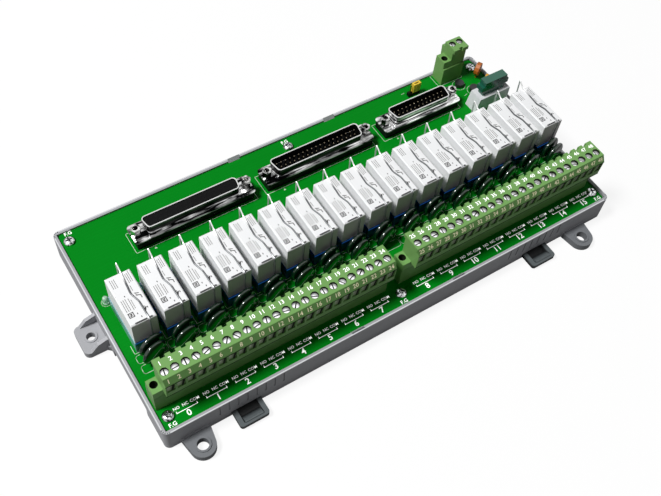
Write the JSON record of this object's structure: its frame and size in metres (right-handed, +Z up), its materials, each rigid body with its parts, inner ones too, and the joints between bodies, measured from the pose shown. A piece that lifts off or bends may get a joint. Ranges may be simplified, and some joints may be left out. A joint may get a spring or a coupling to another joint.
{
  "type": "relay module board",
  "caption": "Relay board on a rail-mount carrier: a row of socketed relays, pluggable screw terminals along the front and D-shaped data connectors along the back.",
  "frame": {"origin": "centre of the carrier on its underside plane", "axes": "+X along the long side, +Y towards the data connectors, +Z up out of the board"},
  "size_m": [0.2956, 0.1408, 0.045],
  "materials": {
    "carrier_plastic": "fine satin moulding, mid grey",
    "latch_plastic": "satin, dark grey",
    "board_laminate": "green solder mask, glossy",
    "terminal_green": "satin green",
    "zinc_steel": "bright plated",
    "spring_steel": "bright drawn wire",
    "tinned_brass": "tinned",
    "nickel": "bright nickel plate",
    "connector_black": "satin black",
    "relay_white": "smooth white",
    "socket_blue": "smooth blue",
    "varistor_lacquer": "dark green dipped lacquer, glossy",
    "lamp_green": "clear green tinted lens",
    "holder_white": "pale grey, smooth",
    "fuse_green": "dark green translucent",
    "jumper_yellow": "yellow",
    "can_black": "black sleeve",
    "disc_orange": "dipped orange",
    "disc_amber": "dipped amber"
  },
  "bodies": {
    "board_assembly": {"blade_fuse": "fuse_green", "board_screws": "zinc_steel", "capacitor_cans": "can_black", "carrier_tray": "carrier_plastic", "circuit_board": "board_laminate", "connector_jack_posts": "nickel", "disc_capacitor": "disc_orange", "fuse_holder": "holder_white", "jumper_base": "connector_black", "jumper_cap": "jumper_yellow", "jumper_pins": "tinned_brass", "left_clamp_screws": "zinc_steel", "left_connector_insulator": "connector_black", "left_connector_shell": "nickel", "left_header_pins": "tinned_brass", "left_terminal_header": "terminal_green", "left_terminal_plug": "terminal_green", "left_wire_clamps": "zinc_steel", "middle_connector_insulator": "connector_black", "middle_connector_pins": "tinned_brass", "middle_connector_shell": "nickel", "relay_01": "relay_white", "relay_02": "relay_white", "relay_03": "relay_white", "relay_04": "relay_white", "relay_05": "relay_white", "relay_06": "relay_white", "relay_07": "relay_white", "relay_08": "relay_white", "relay_09": "relay_white", "relay_10": "relay_white", "relay_11": "relay_white", "relay_12": "relay_white", "relay_13": "relay_white", "relay_14": "relay_white", "relay_15": "relay_white", "relay_16": "relay_white", "relay_clips": "spring_steel", "relay_sockets": "socket_blue", "right_clamp_screws": "zinc_steel", "right_connector_insulator": "connector_black", "right_connector_pins": "tinned_brass", "right_connector_shell": "nickel", "right_header_pins": "tinned_brass", "right_terminal_header": "terminal_green", "right_terminal_plug": "terminal_green", "right_wire_clamps": "zinc_steel", "small_disc_capacitor": "disc_amber", "status_lamps": "lamp_green", "supply_clamp_screws": "zinc_steel", "supply_header_pins": "tinned_brass", "supply_terminal_header": "terminal_green", "supply_terminal_plug": "terminal_green", "supply_wire_clamps": "zinc_steel", "surge_varistors": "varistor_lacquer"},
    "left_latch": {"rail_latch_left": "latch_plastic"},
    "right_latch": {"rail_latch_right": "latch_plastic"}
  },
  "joints": [
    {"name": "left_latch_slide", "type": "slide", "parent": "board_assembly", "child": "left_latch", "axis": [0, -1, 0], "range_m": [0, 0.0035], "stiffness_N_per_m": 600, "springref_m": -0.002},
    {"name": "right_latch_slide", "type": "slide", "parent": "board_assembly", "child": "right_latch", "axis": [0, -1, 0], "range_m": [0, 0.0035], "stiffness_N_per_m": 600, "springref_m": -0.002}
  ]
}
